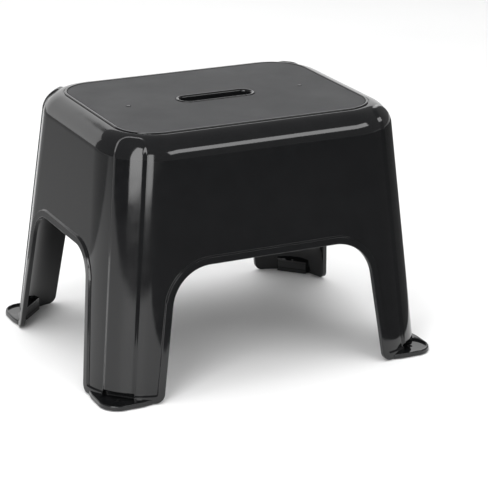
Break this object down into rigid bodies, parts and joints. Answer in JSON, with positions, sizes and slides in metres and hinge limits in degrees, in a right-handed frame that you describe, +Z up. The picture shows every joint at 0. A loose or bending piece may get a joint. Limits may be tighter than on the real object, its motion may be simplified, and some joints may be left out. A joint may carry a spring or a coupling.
{
  "type": "step stool",
  "caption": "Moulded plastic step stool: a flat, matt tread with a hand slot, leaning walls cut away in arches, and corner legs on rubber pads.",
  "frame": {"origin": "on the floor, under the middle of the stool", "axes": "+X along the length of the tread, +Z up, -Y the front"},
  "size_m": [0.3558, 0.2858, 0.25],
  "materials": {
    "shell": "gloss black, moulded",
    "mat": "matt dark grey, fine grip texture",
    "foot": "matt black"
  },
  "bodies": {
    "root": {"stool_body": "shell", "tread_mat": "mat", "foot_front_left": "foot", "foot_front_right": "foot", "foot_back_left": "foot", "foot_back_right": "foot"}
  },
  "joints": []
}
